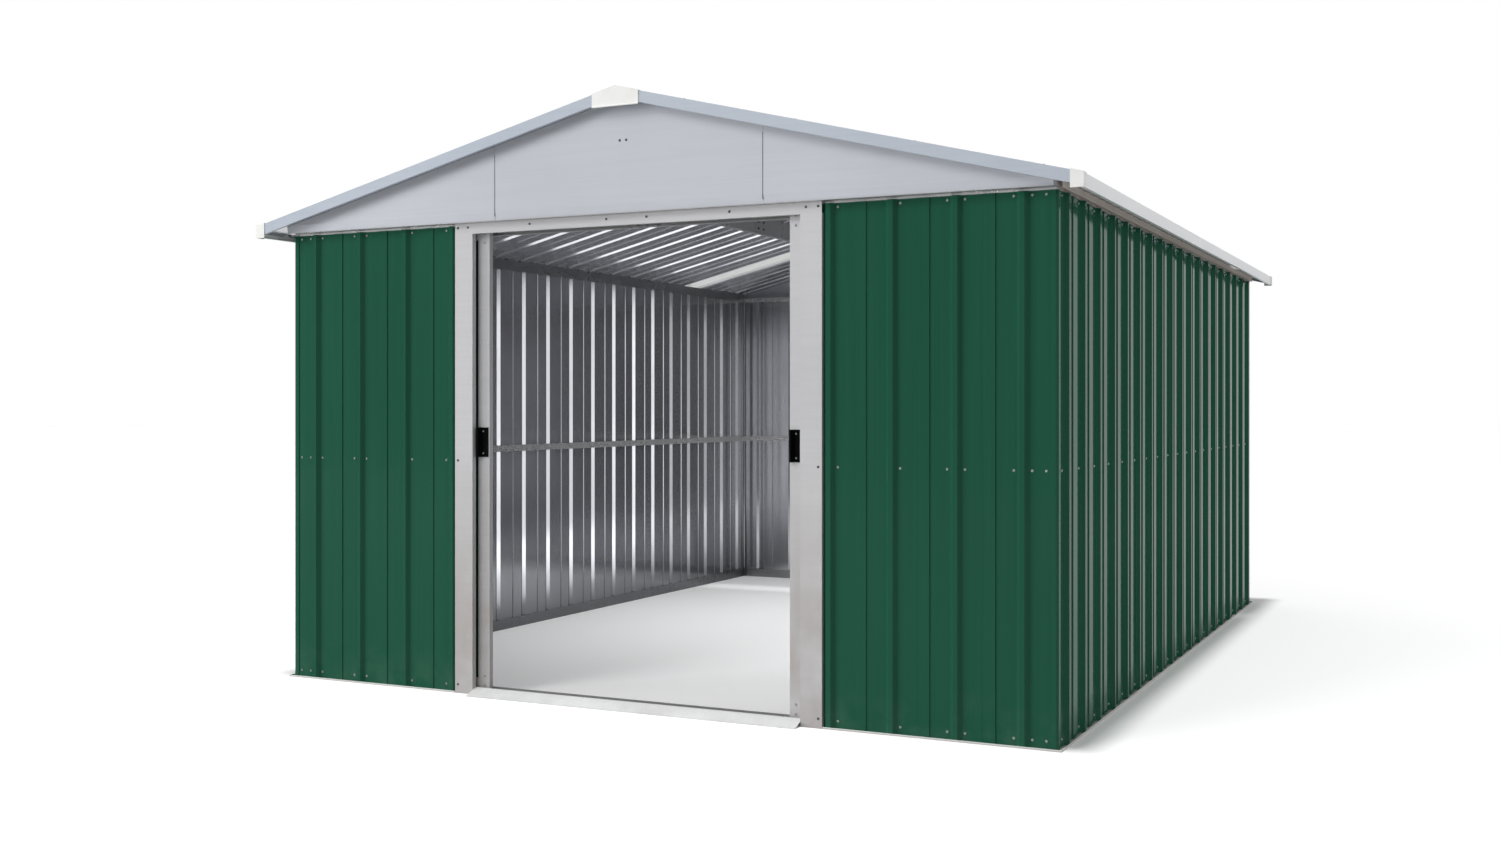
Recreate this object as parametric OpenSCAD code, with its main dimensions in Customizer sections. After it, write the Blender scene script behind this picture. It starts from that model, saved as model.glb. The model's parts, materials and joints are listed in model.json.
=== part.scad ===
// Metal storage shed: ribbed steel sheets on a rolled steel frame, a low pitched roof
// and two top-hung doors that slide apart behind the front wall.
// Millimetres, +Z up, the front faces -Y, the origin is on the ground under the middle.

/* [Base frame] */
// Width of the base frame, outside
base_w = 2830; // [2400:10:3600]
// Depth of the base frame, outside
base_d = 3820; // [2400:10:5200]
// Height of the base upstand
base_h = 45; // [30:1:70]
// Height of the base lip that shows outside the sheets
base_lip_h = 6; // [4:1:12]
// Thickness of the rolled frame sections
rail_t = 1.5; // [1:0.1:2.5]

/* [Walls] */
// Height of the seat of the gables
wall_h = 1607; // [1500:1:2000]
// Thickness of the wall and roof sheets
sheet_t = 1; // [0.6:0.1:1.5]
// Distance from rib to rib
rib_pitch = 200; // [160:1:240]
// Height of a rib
rib_h = 12; // [8:0.5:12]
// Width of a rib at its crest
rib_crest_w = 14; // [10:0.5:24]
// Width of a rib at its foot
rib_foot_w = 37; // [30:0.5:44]
// Height of the shallow stiffening band between ribs
swage_h = 3; // [1:0.1:4]
// Width of the stiffening band
swage_w = 40; // [20:1:60]
// Ribs in one sheet, from lap to lap
ribs_per_sheet = 3; // [2:1:6]
// Distance of the first rib of the front wall from the middle
front_rib = 700; // [690:1:760]
// Distance of the first rib of the side walls from the front
side_rib = 106; // [100:1:220]
// Shortest leg of a corner sheet
corner_leg = 80; // [60:1:110]
// Width of the raised band along a corner
corner_band = 20; // [14:1:30]
// Outer radius of the corner bend
corner_r = 9; // [3:0.5:11]
// Clearance between lapped sheets
lap_gap = 0.2; // [0.1:0.05:0.4]

/* [Wall rails] */
// Height of the middle of the mid rails
mid_rail_z = 797; // [500:1:1100]
// Face height of the mid rails
mid_rail_h = 27; // [20:1:45]
// Depth of the mid rails on the side and back walls
mid_rail_d = 18; // [12:1:30]
// Depth of the mid rails behind the doors' way
front_mid_rail_d = 10; // [6:1:12]
// Depth of the top rails below the seat of the gables
top_rail_drop = 23; // [12:1:40]
// Strip of the top rails that shows above the front and back sheets
top_strip = 5; // [1:0.5:8]
// Overlap of the outer lip of the side top rails on the sheets
top_lip = 3; // [2:0.5:8]

/* [Doorway] */
// Clear width between the jambs
door_w = 1216; // [900:2:1300]
// Width of a jamb's face
jamb_w = 72; // [50:1:80]
// Depth of a jamb's return beside the opening
jamb_return = 20; // [16:1:24]
// Height of the header's face
header_h = 35; // [25:1:60]
// Reach of the ramp in front of the base
ramp_reach = 42; // [20:1:120]
// Height of the top of the ramp
ramp_h = 22; // [12:1:30]
// Thickness of the ramp plate
ramp_t = 2; // [1:0.1:4]

/* [Doors] */
// Width of a door leaf
leaf_w = 637; // [560:1:680]
// Thickness of a door leaf
leaf_t = 20; // [17:1:24]
// Overhang of an open leaf past its jamb
leaf_show = 48; // [48:1:70]
// Face width of the meeting stile
meeting_stile_w = 46; // [42:1:70]
// Face width of the outer stile and the leaf's rails
leaf_rail_w = 40; // [30:1:60]
// Distance from rib to rib on a leaf
leaf_rib_pitch = 178; // [120:1:200]
// Running clearance above the lower track's floor
leaf_floor_gap = 8.5; // [6:0.5:12]
// Clearance of a leaf from the tracks at its sides
leaf_side_gap = 6; // [5:0.5:9]
// Height of a handle
handle_h = 101; // [80:1:140]
// Width of a handle's plate
handle_w = 38; // [30:1:40]
// Stand-off of a handle's grip from the stile
handle_d = 22; // [15:1:26]
// Height of the lower end of the handles
handle_z = 809; // [600:1:1000]
// Radius of a hanger's wheel
wheel_r = 9; // [7:0.5:11]

/* [Gables] */
// Distance of the gables in front of the edge of the base
gable_proud = 30; // [20:1:50]
// Width of the middle sheet of a gable
gable_mid_w = 992; // [700:2:1200]
// Gap between the sheets of a gable
gable_joint = 1.2; // [0.3:0.1:2]
// Height of the fold above the lower edge of a gable
gable_fold = 27; // [10:1:40]
// Set-back of the lower edge of a gable
gable_tuck = 5; // [2:0.5:10]

/* [Roof] */
// Pitch of the roof, degrees
roof_pitch = 14; // [10:0.5:20]
// Height of the roof's underside over the gable seat, at the side walls
roof_seat = 22; // [18:1:40]
// Overhang of the roof past the base, all round
roof_over = 80; // [60:1:120]
// Distance of the first roof rib from the front of the base
roof_rib = 65; // [40:1:120]
// Ribs of the roof between the skylights and the back
ribs_behind_skylight = 3; // [1:1:6]
// Width of a roof purlin's flanges
purlin_flange = 25; // [15:1:40]
// Height of a roof purlin
purlin_h = 76; // [50:1:120]
// Distance of the purlins from the middle
purlin_x = 513; // [300:1:800]
// Distance of the purlin splices from the front of the base
splice_y = 2126; // [800:1:3000]
// Length of a splice plate
splice_l = 120; // [80:1:200]
// Height of the roof trims above the roof's underside
trim_up = 26; // [20:1:40]
// Drop of the gable trims below the roof's underside
trim_down = 10; // [4:1:20]
// Width of the roof trims' top flanges
trim_flange = 30; // [15:1:34]
// Width of the roof trims' lower returns
trim_return = 12; // [6:1:20]
// Height of the eaves trims
eaves_h = 40; // [36:1:60]
// Half width of the ridge capping
ridge_half_w = 85; // [60:1:120]
// Width of the corner caps
cap_w = 38; // [36:1:60]
// Wall thickness of the moulded caps
cap_t = 2; // [1.5:0.1:4]
// Height of the front of a ridge end cap at its sides
ridge_cap_h = 46; // [38:1:70]
// Length of the moulded caps over the ridge ends
ridge_cap_l = 45; // [34:1:80]
// Fitting clearance of trims and caps
fit = 0.3; // [0.2:0.05:0.5]

/* [Hidden] */
$fn = 48;

green = [0.14, 0.32, 0.25];
silver = [0.74, 0.75, 0.78];
galvanised = [0.55, 0.56, 0.58];
white = [0.92, 0.93, 0.92];
black = [0.06, 0.06, 0.06];
clear_white = [0.95, 0.96, 0.97];

// Sides of the building, as quarter turns from the front, in the order in which the walls run round it
quarter_turns = [0, 1, 2, 3];
FRONT = quarter_turns[0];
RIGHT = quarter_turns[1];
BACK = quarter_turns[2];
LEFT = quarter_turns[3];

hw = base_w / 2;
hd = base_d / 2;
// Lap of one sheet on the rib of the sheet before it
lap = sheet_t + lap_gap;
// Inset of the wall sheets from the edge of the base, so that lapped ribs stay behind the lip
wall_inset = rib_h + lap + rail_t + fit;
// Depth from the edge of the base to the inner faces of the sheets and of the base upstand
wall_depth = wall_inset + sheet_t;
base_depth = wall_depth + rail_t;
// Half sizes of the building at the outer faces of the wall sheets
pan_x = hw - wall_inset;
pan_y = hd - wall_inset;
sheet_top = wall_h - rail_t - top_strip;
// Ends of the side walls' mid rails
mid_rail_front = hd - wall_depth - front_mid_rail_d;
mid_rail_back = hd - wall_depth - mid_rail_d;

rib_crest = rib_crest_w / 2;
rib_foot = rib_foot_w / 2;
rib_run = rib_foot - rib_crest;
rib_flank = sqrt(rib_run * rib_run + rib_h * rib_h);
cover_crest = rib_crest + lap * (rib_flank - rib_run) / rib_h;
cover_foot = rib_foot + lap * rib_flank / rib_h;
// Share of the far flank that the lapped rib reaches down
lap_reach = 0.6;
swage_run = swage_h / 2;
bend_steps = 5;

// Roof: height of its underside over a distance x from the middle
roof_tan = tan(roof_pitch);
roof_cos = cos(roof_pitch);
roof_sin = sin(roof_pitch);
ridge_z = wall_h + roof_seat + (hw - wall_depth) * roof_tan;
function roof_z(x) = ridge_z - roof_tan * abs(x);
roof_half = hw + roof_over;
// Side view of a gable, from the top down, and the distance of its ends from the middle
gable_path = [
    [-gable_proud, ridge_z], [-gable_proud, wall_h + gable_fold], [gable_tuck - gable_proud, wall_h]
];
gable_end = hw - wall_depth;
roof_front = -roof_over + rail_t + fit;
roof_back = base_d + roof_over - rail_t - fit;
// Gaps at the ridge, between the trims that meet there, and between the trims at the roof corners
ridge_gap = 6;
trim_gap = 2;
eaves_gap = 4;
// Length of a roof sheet down the slope, held off the back of the eaves trim
roof_end = (roof_half - rail_t - fit - (rib_h + 2 * lap) * roof_sin) / roof_cos;
trim_start = trim_down * roof_tan + trim_gap;
trim_end = (roof_half - trim_up * roof_sin - fit) / roof_cos;
cap_front = roof_over + fit + cap_t;
eaves_start = hd + roof_over - trim_flange - eaves_gap;
capping_up = rib_h + sheet_t + lap + fit + rail_t;

// Doorway and doors
door_half = door_w / 2;
jamb_out = door_half + jamb_w;
jamb_gap = 2;
header_top = wall_h - rail_t;
header_bottom = header_top - header_h;
leaf_edge = door_half - leaf_show;
leaf_setback = wall_depth + front_mid_rail_d + leaf_side_gap;
leaf_bottom = rail_t + leaf_floor_gap;
track_front = leaf_setback - leaf_side_gap - rail_t;
track_back = leaf_setback + leaf_t + leaf_side_gap + rail_t;
track_top = wall_h - rail_t - fit;
hanger_t = 3;
wheel_w = 8;
hanger_gap = 7;
wheel_front = leaf_setback + leaf_t + hanger_t + leaf_side_gap;
runner_front = leaf_setback + leaf_t + hanger_t + hanger_gap;
track_deep = wheel_front + wheel_w + hanger_gap + rail_t;
runner_drop = 4;
runner_z = header_bottom - runner_drop;
wheel_z = runner_z + rail_t + fit + wheel_r;
leaf_top_gap = 12;
leaf_top = track_top - rail_t - leaf_top_gap;
sheet_behind_jamb = 32;
track_half = hw - base_depth - fit;
// Set-back of a leaf's sheet behind its stiles
leaf_pan = 14;
leaf_sheet_in = 18;
leaf_lip = 12;
// Inset of a handle from the edge of its leaf
handle_in = 4;

// Outline helpers
function unit(v) = v / norm(v);
function right_of(a, b) = let (d = unit(b - a)) [d.y, -d.x];
function flip(list) = [for (i = [len(list) - 1 : -1 : 0]) list[i]];
function inset_point(p, i, t) =
    i == 0 ? p[0] - t * right_of(p[0], p[1]) :
    i == len(p) - 1 ? p[i] - t * right_of(p[i - 1], p[i]) :
    let (n1 = right_of(p[i - 1], p[i]), n2 = right_of(p[i], p[i + 1]), m = unit(n1 + n2))
        p[i] - m * t / (m * n1);
// Section of a sheet of thickness t, folded along a path, with the metal on the left of the path
function folded(path, t) = concat(path, [for (i = [len(path) - 1 : -1 : 0]) inset_point(path, i, t)]);

// Stretches of a ribbed sheet: along the wall, then out from its pan
function rib(c) = [[c - rib_foot, 0], [c - rib_crest, rib_h], [c + rib_crest, rib_h], [c + rib_foot, 0]];
function under_rib(c) = [
    [c - rib_foot, 0], [c - rib_crest, rib_h], [c + rib_crest, rib_h],
    [c + rib_crest + lap_reach * rib_run, (1 - lap_reach) * rib_h]
];
function cover_rib(c) = [
    [c - rib_crest, rib_h + lap], [c + cover_crest, rib_h + lap], [c + cover_foot, 0]
];
function swage(c) = [
    [c - swage_w / 2, 0], [c - swage_w / 2 + swage_run, swage_h],
    [c + swage_w / 2 - swage_run, swage_h], [c + swage_w / 2, 0]
];
function swages(ribs, i, j) = swage((ribs[i] + ribs[j]) / 2);
// Ribs and bands between the end ribs i and j of a sheet
function between(ribs, i, j) = [
    for (k = [i : j - 1]) each concat(swages(ribs, k, k + 1), k + 1 < j ? rib(ribs[k + 1]) : [])
];
function full_sheet(ribs, i, j) = concat(cover_rib(ribs[i]), between(ribs, i, j), under_rib(ribs[j]));
// Sheet that starts or ends at a plain edge
function opening_sheet(edge, ribs, j) = concat([[edge, 0]], rib(ribs[0]), between(ribs, 0, j), under_rib(ribs[j]));
function closing_sheet(ribs, i, edge) =
    let (last = len(ribs) - 1)
        concat(cover_rib(ribs[i]), between(ribs, i, last), rib(ribs[last]), [[edge, 0]]);
function lap_ribs(n) = [for (i = [0 : ribs_per_sheet : n - 2]) [i, min(i + ribs_per_sheet, n - 1)]];

// Rib places along each wall, counted from the corner where the wall starts
function rib_row(first, length) = [for (c = [first : rib_pitch : length - corner_leg]) c];
front_row = rib_row(front_rib, hw);
front_left_ribs = flip([for (c = front_row) hw - c]);
front_right_ribs = [for (c = front_row) hw + c];
right_ribs = rib_row(side_rib, base_d);
left_ribs = flip([for (c = right_ribs) base_d - c]);
back_row = rib_row(rib_pitch / 2, hw);
back_ribs = concat(flip([for (c = back_row) hw - c]), [for (c = back_row) hw + c]);
roof_ribs = [for (c = [roof_rib : rib_pitch : roof_back - rib_foot]) c];
front_last = len(front_row) - 1;
roof_last = len(roof_ribs) - 1;
// Rib at the front edge of the skylights
skylight_rib = roof_last - ribs_behind_skylight - 1;

// Plan of the walls
wall_start = [[-hw, -pan_y], [pan_x, -hd], [hw, pan_y], [-pan_x, hd]];
wall_dir = [[1, 0], [0, 1], [-1, 0], [0, -1]];
wall_length = [base_w, base_d, base_w, base_d];
function on_wall(side, path) = [
    for (p = path) wall_start[side] + p.x * wall_dir[side] + p.y * [wall_dir[side].y, -wall_dir[side].x]
];
// Points of a corner bend between a wall and the next one
function corner_bend(side) =
    let (
        next = (side + 1) % 4,
        out = [wall_dir[side].y, -wall_dir[side].x],
        next_out = [wall_dir[next].y, -wall_dir[next].x],
        middle = (pan_x + swage_h - corner_r) * (abs(out.x) * out + abs(next_out.x) * next_out)
            + (pan_y + swage_h - corner_r) * (abs(out.y) * out + abs(next_out.y) * next_out)
    )
    [for (k = [0 : bend_steps]) let (a = 90 * k / bend_steps) middle + corner_r * (cos(a) * out + sin(a) * next_out)];
// Step up to the raised band along a corner, towards the corner or away from it
function step_up(c) = [[c, 0], [c + swage_run, swage_h]];
function step_down(c) = [[c - swage_run, swage_h], [c, 0]];

// Placing helpers
// A section drawn as depth from an outer edge and height, run along one side of the building
module along(side, edge, from, to) {
    rotate(90 * side) translate([from, -edge, 0]) rotate([90, 0, 90]) linear_extrude(to - from) children();
}
// A section drawn as distance from the middle and height, run from front to back
module front_to_back(half) {
    translate([0, half, 0]) rotate([90, 0, 0]) linear_extrude(2 * half) children();
}
// The frame of the right roof slope: down the slope, front to back, square to the slope
module on_slope() {
    translate([0, -hd, ridge_z]) rotate([0, roof_pitch, 0]) children();
}
module down_slope(from, to) {
    translate([from, 0, 0]) rotate([90, 0, 90]) linear_extrude(to - from) children();
}
module flip_x(on = true) {
    mirror([on ? 1 : 0, 0, 0]) children();
}
module flip_y(on = true) {
    mirror([0, on ? 1 : 0, 0]) children();
}

// Room for the bends of the corner sheets, cut from the rails that pass inside them
module bend_clear() {
    inner_r = corner_r * cos(45 / bend_steps) - sheet_t - fit;
    middle = swage_h - corner_r;
    for (x = [false, true], y = [false, true])
        flip_x(x) flip_y(y) translate([pan_x + middle, pan_y + middle, rail_t]) linear_extrude(sheet_top + fit - rail_t)
            difference() {
                square(corner_r);
                circle(r = inner_r);
            }
}

// Base frame
module base_section() {
    polygon(folded([[0, base_lip_h], [0, 0], [base_depth, 0], [base_depth, base_h]], rail_t));
}
// A base rail with mitred ends, or a square end where it stops at the doorway
module base_rail(side, edge, from, to, mitre_from, mitre_to) {
    a = mitre_from ? base_depth : 0;
    b = mitre_to ? base_depth : 0;
    difference() {
        intersection() {
            along(side, edge, from, to) base_section();
            rotate(90 * side) linear_extrude(base_h)
                polygon([[from, -edge], [to, -edge], [to - b, base_depth - edge], [from + a, base_depth - edge]]);
        }
        bend_clear();
    }
}
module left_base() { color(galvanised) base_rail(LEFT, hw, -hd, hd, true, true); }
module right_base() { color(galvanised) base_rail(RIGHT, hw, -hd, hd, true, true); }
module back_base() { color(galvanised) base_rail(BACK, hd, -hw, hw, true, true); }
module front_left_base() { color(galvanised) base_rail(FRONT, hd, -hw, -jamb_out - jamb_gap, true, false); }
module front_right_base() { color(galvanised) base_rail(FRONT, hd, jamb_out + jamb_gap, hw, false, true); }

// Doorway
module door_ramp() {
    ramp_flat = 8;
    ramp_toe = 6;
    ramp_back = track_front - fit;
    color(silver) along(FRONT, hd, fit - door_half, door_half - fit)
        polygon(folded([
            [ramp_back, 0], [ramp_back, ramp_h], [ramp_back - ramp_flat, ramp_h],
            [ramp_toe - ramp_reach, ramp_t], [-ramp_reach, ramp_t]
        ], ramp_t));
}
module lower_door_track() {
    color(galvanised) along(FRONT, hd, -track_half, track_half)
        polygon(folded([[track_front, ramp_h], [track_front, 0], [track_back, 0], [track_back, ramp_h]], rail_t));
}
module upper_door_track() {
    color(galvanised) along(FRONT, hd, -track_half, track_half)
        polygon(folded([
            [runner_front, runner_z], [track_deep, runner_z], [track_deep, track_top],
            [base_depth, track_top], [base_depth, runner_z + base_lip_h]
        ], rail_t));
}
module jamb_sheet() {
    color(silver) translate([0, -hd, 0]) linear_extrude(header_bottom)
        polygon(folded([[door_half, jamb_return], [door_half, 0], [jamb_out, 0], [jamb_out, wall_inset]], rail_t));
}
module left_jamb() { flip_x() jamb_sheet(); }
module right_jamb() { jamb_sheet(); }
module door_header() {
    color(silver) along(FRONT, hd, -jamb_out, jamb_out)
        polygon(folded([
            [wall_inset, header_top], [0, header_top], [0, header_bottom], [wall_inset, header_bottom]
        ], rail_t));
}

// Walls
module standing_sheet(path) {
    translate([0, 0, rail_t]) linear_extrude(sheet_top - rail_t) polygon(folded(path, sheet_t));
}
module wall_sheets(side, ribs) {
    color(green) for (s = lap_ribs(len(ribs))) standing_sheet(on_wall(side, full_sheet(ribs, s[0], s[1])));
}
module front_left_wall() {
    edge = hw - jamb_out + sheet_behind_jamb;
    color(green) standing_sheet(on_wall(FRONT, closing_sheet(front_left_ribs, 0, edge)));
}
module front_right_wall() {
    edge = hw + jamb_out - sheet_behind_jamb;
    color(green) standing_sheet(on_wall(FRONT, opening_sheet(edge, front_right_ribs, front_last)));
}
module right_wall() { wall_sheets(RIGHT, right_ribs); }
module back_wall() { wall_sheets(BACK, back_ribs); }
module left_wall() { wall_sheets(LEFT, left_ribs); }
// A corner sheet laps over the last rib of a wall and under the first sheet of the next
module corner_sheet(side, from, to) {
    next = (side + 1) % 4;
    band_from = wall_length[side] - wall_inset - corner_band;
    band_to = wall_inset + corner_band;
    color(green) standing_sheet(concat(
        on_wall(side, concat(cover_rib(from), step_up(band_from))), corner_bend(side),
        on_wall(next, concat(step_down(band_to), under_rib(to)))
    ));
}
module front_right_corner() { corner_sheet(FRONT, front_right_ribs[front_last], right_ribs[0]); }
module back_right_corner() { corner_sheet(RIGHT, right_ribs[len(right_ribs) - 1], back_ribs[0]); }
module back_left_corner() { corner_sheet(BACK, back_ribs[len(back_ribs) - 1], left_ribs[0]); }
module front_left_corner() { corner_sheet(LEFT, left_ribs[len(left_ribs) - 1], front_left_ribs[0]); }

// Rails on the inside of the walls
module mid_rail(side, edge, from, to, depth) {
    low = mid_rail_z - mid_rail_h / 2;
    high = mid_rail_z + mid_rail_h / 2;
    color(galvanised) difference() {
        along(side, edge, from, to)
            polygon(folded([
                [wall_depth, low], [wall_depth + depth, low], [wall_depth + depth, high], [wall_depth, high]
            ], rail_t));
        bend_clear();
    }
}
module front_left_mid_rail() {
    mid_rail(FRONT, hd, wall_depth - hw, sheet_behind_jamb - jamb_out, front_mid_rail_d);
}
module front_right_mid_rail() {
    mid_rail(FRONT, hd, jamb_out - sheet_behind_jamb, hw - wall_depth, front_mid_rail_d);
}
module right_mid_rail() { mid_rail(RIGHT, hw, -mid_rail_front, mid_rail_back, mid_rail_d); }
module back_mid_rail() { mid_rail(BACK, hd, wall_depth - hw, hw - wall_depth, mid_rail_d); }
module left_mid_rail() { mid_rail(LEFT, hw, -mid_rail_back, mid_rail_front, mid_rail_d); }

// Flat-topped rail that carries a gable
module gable_rail(side) {
    color(galvanised) difference() {
        along(side, hd, -pan_x, pan_x)
            polygon(folded([[base_depth, wall_h - top_rail_drop], [base_depth, wall_h], [-gable_proud, wall_h]], rail_t));
        bend_clear();
    }
}
// Rail whose top follows the roof, with a lip outside the sheets
module eaves_rail(side) {
    color(galvanised) difference() {
        along(side, hw, base_depth - hd, hd - base_depth)
            polygon(folded([
                [base_depth, wall_h - top_rail_drop], [base_depth, roof_z(hw - base_depth)],
                [0, roof_z(hw)], [0, wall_h - top_lip]
            ], rail_t));
        bend_clear();
    }
}
module front_top_rail() { gable_rail(FRONT); }
module back_top_rail() { gable_rail(BACK); }
module right_top_rail() { eaves_rail(RIGHT); }
module left_top_rail() { eaves_rail(LEFT); }

// Gables: three sheets side by side, with a fold above the lower edge
module gable_within(outline) {
    intersection() {
        children();
        front_to_back(hd + roof_over) polygon(outline);
    }
}
module gable_sheet() {
    along(FRONT, hd, -hw, hw) polygon(folded(gable_path, sheet_t));
}
// Return at the end of a gable, back to the wall
module gable_return() {
    along(FRONT, hd, gable_end - sheet_t, gable_end)
        polygon(concat(gable_path, [[wall_depth, wall_h], [wall_depth, ridge_z]]));
}
module gable() {
    mid = gable_mid_w / 2;
    from = mid + gable_joint;
    color(silver) {
        gable_within([
            [-mid, wall_h], [mid, wall_h], [mid, roof_z(mid) - fit], [0, ridge_z - fit], [-mid, roof_z(mid) - fit]
        ]) gable_sheet();
        for (on = [false, true])
            flip_x(on) gable_within([
                [from, wall_h], [gable_end, wall_h], [gable_end, roof_z(gable_end) - fit], [from, roof_z(from) - fit]
            ]) union() {
                gable_sheet();
                gable_return();
            }
    }
}
module front_gable() { gable(); }
module back_gable() { flip_y() gable(); }

// Roof frame
module purlin() {
    low = roof_z(purlin_x) - purlin_h;
    color(galvanised) front_to_back(hd + gable_proud - sheet_t)
        polygon(folded([
            [purlin_x + purlin_flange, roof_z(purlin_x + purlin_flange)], [purlin_x, roof_z(purlin_x)],
            [purlin_x, low], [purlin_x + purlin_flange, low]
        ], rail_t));
}
module right_purlin() { purlin(); }
module left_purlin() { flip_x() purlin(); }
module purlin_splices() {
    margin = 10;
    low = roof_z(purlin_x) - purlin_h + margin;
    color(galvanised) for (on = [false, true])
        flip_x(on) translate([purlin_x - rail_t, splice_y - hd - splice_l / 2, low])
            cube([rail_t, splice_l, purlin_h - 2 * margin]);
}

// Roof sheets
module roof_sheet(path) {
    on_slope() down_slope(ridge_gap, roof_end)
        polygon(folded(flip([for (p = path) [p.x, p.y + sheet_t]]), sheet_t));
}
module roof_slope() {
    first_sheet = skylight_rib % ribs_per_sheet == 0 ? ribs_per_sheet : skylight_rib % ribs_per_sheet;
    color(galvanised) {
        roof_sheet(opening_sheet(roof_front, roof_ribs, first_sheet));
        for (i = [first_sheet : ribs_per_sheet : skylight_rib - 1])
            roof_sheet(full_sheet(roof_ribs, i, i + ribs_per_sheet));
        roof_sheet(closing_sheet(roof_ribs, skylight_rib + 1, roof_back));
    }
}
module skylight() {
    color(clear_white) roof_sheet(full_sheet(roof_ribs, skylight_rib, skylight_rib + 1));
}
module right_roof() { roof_slope(); }
module left_roof() { flip_x() roof_slope(); }
module right_skylight() { skylight(); }
module left_skylight() { flip_x() skylight(); }

// Roof edges
module ridge_capping() {
    up = capping_up / roof_cos;
    color(silver) front_to_back(hd + roof_over - rail_t - fit)
        polygon(folded([
            [ridge_half_w, roof_z(ridge_half_w) + up], [0, ridge_z + up], [-ridge_half_w, roof_z(ridge_half_w) + up]
        ], rail_t));
}
module gable_trim() {
    on_slope() down_slope(trim_start, trim_end)
        polygon(folded([
            [trim_flange - roof_over, trim_up], [-roof_over, trim_up],
            [-roof_over, -trim_down], [trim_return - roof_over, -trim_down]
        ], rail_t));
}
module trim_pair() {
    color(silver) for (on = [false, true]) flip_x(on) gable_trim();
}
module front_trims() { trim_pair(); }
module back_trims() { flip_y() trim_pair(); }
function trim_top(x) = roof_z(x) + trim_up / roof_cos;
module eaves_trim(side) {
    low = trim_top(roof_half) - eaves_h;
    color(silver) along(side, hw, -eaves_start, eaves_start)
        polygon(folded([
            [trim_flange - roof_over, trim_top(roof_half - trim_flange)], [-roof_over, trim_top(roof_half)],
            [-roof_over, low], [trim_return - roof_over, low]
        ], rail_t));
}
module right_eaves_trim() { eaves_trim(RIGHT); }
module left_eaves_trim() { eaves_trim(LEFT); }

// Moulded caps over the ridge ends and the roof corners
function cap_top(x) = trim_top(x) + fit + cap_t;
module from_front(length) {
    translate([0, length - hd - cap_front, 0]) rotate([90, 0, 0]) linear_extrude(length) children();
}
module ridge_end_cap() {
    side = ridge_half_w;
    low = cap_top(side) - ridge_cap_h;
    skin = fit + cap_t;
    difference() {
        from_front(ridge_cap_l)
            polygon([[-side, low], [side, low], [side, cap_top(side)], [0, cap_top(0)], [-side, cap_top(side)]]);
        translate([0, cap_t, 0]) from_front(ridge_cap_l)
            polygon([
                [-side - skin, low - skin], [side + skin, low - skin], [side + skin, cap_top(side + skin) - cap_t],
                [0, cap_top(0) - cap_t], [-side - skin, cap_top(side + skin) - cap_t]
            ]);
    }
}
module corner_cap() {
    skin = fit + cap_t;
    outer = roof_half + skin;
    inner = outer - cap_w;
    low = trim_top(roof_half) - eaves_h - skin;
    difference() {
        from_front(cap_w)
            polygon([[inner, low], [outer, low], [outer, cap_top(outer)], [inner, cap_top(inner)]]);
        translate([0, cap_t, 0]) from_front(cap_w)
            polygon([
                [inner - skin, low - skin], [outer - cap_t, low - skin],
                [outer - cap_t, cap_top(outer - cap_t) - cap_t], [inner - skin, cap_top(inner - skin) - cap_t]
            ]);
    }
}
module roof_caps() {
    color(white) for (behind = [false, true])
        flip_y(behind) {
            ridge_end_cap();
            for (on = [false, true]) flip_x(on) corner_cap();
        }
}

// Doors: the right leaf, drawn open
module leaf_place() {
    translate([leaf_edge, leaf_setback - hd, 0]) children();
}
// A hanger on the back of a leaf, with its wheel on the runner
module hanger(x) {
    plate_w = 50;
    plate_h = 38;
    axle_r = 4;
    axle_l = wheel_front - leaf_setback - leaf_t;
    translate([x - plate_w / 2, leaf_t - rail_t, leaf_top - plate_h])
        cube([plate_w, rail_t + hanger_t, plate_h]);
    translate([x, leaf_t, wheel_z]) rotate([-90, 0, 0]) {
        cylinder(r = axle_r, h = axle_l + wheel_w);
        translate([0, 0, axle_l]) cylinder(r = wheel_r, h = wheel_w);
    }
}
module leaf_stile(path) {
    translate([0, 0, leaf_bottom]) linear_extrude(leaf_top - leaf_bottom) polygon(folded(path, rail_t));
}
module leaf_rail(path) {
    translate([rail_t, 0, 0]) rotate([90, 0, 90]) linear_extrude(leaf_w - 2 * rail_t) polygon(folded(path, rail_t));
}
module leaf_frame() {
    hanger_in = 90;
    outer = leaf_w - leaf_rail_w;
    low = leaf_bottom + leaf_rail_w;
    high = leaf_top - leaf_rail_w;
    color(silver) leaf_place() {
        leaf_stile([[leaf_lip, leaf_t], [0, leaf_t], [0, 0], [meeting_stile_w, 0], [meeting_stile_w, leaf_pan]]);
        leaf_stile([[outer, leaf_pan], [outer, 0], [leaf_w, 0], [leaf_w, leaf_t], [leaf_w - leaf_lip, leaf_t]]);
        leaf_rail([[leaf_pan, low], [0, low], [0, leaf_bottom], [leaf_t, leaf_bottom], [leaf_t, leaf_bottom + leaf_lip]]);
        leaf_rail([[leaf_t, leaf_top - leaf_lip], [leaf_t, leaf_top], [0, leaf_top], [0, high], [leaf_pan, high]]);
        for (x = [hanger_in, leaf_w - hanger_in]) hanger(x);
    }
}
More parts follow.
